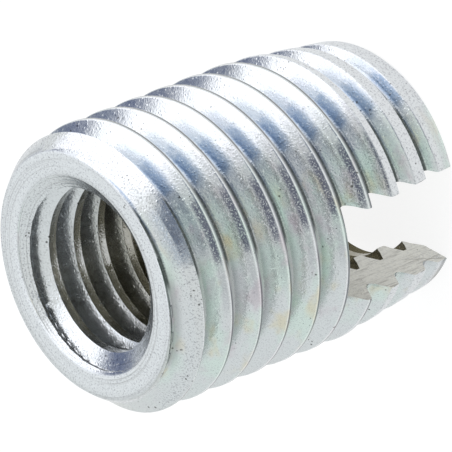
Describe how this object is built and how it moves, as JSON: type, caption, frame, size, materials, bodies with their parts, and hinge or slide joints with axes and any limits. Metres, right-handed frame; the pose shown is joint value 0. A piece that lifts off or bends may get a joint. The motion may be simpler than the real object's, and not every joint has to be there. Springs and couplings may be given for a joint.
{
  "type": "threaded insert",
  "caption": "Slotted self-tapping threaded insert: a metal bush with a coarse outer thread, a threaded bore and a cutting slot across one end.",
  "frame": {"origin": "centre of the slotted end's plane, on the axis, which is the bottom when it stands", "axes": "+Z along the axis, up to the plain annular face; X along the cutting slot"},
  "size_m": [0.0118, 0.0118, 0.0147],
  "materials": {
    "zinc_plated_steel": "zinc plated and blue passivated, satin, with turning and milling marks"
  },
  "bodies": {
    "root": {"insert_body": "zinc_plated_steel"}
  },
  "joints": []
}
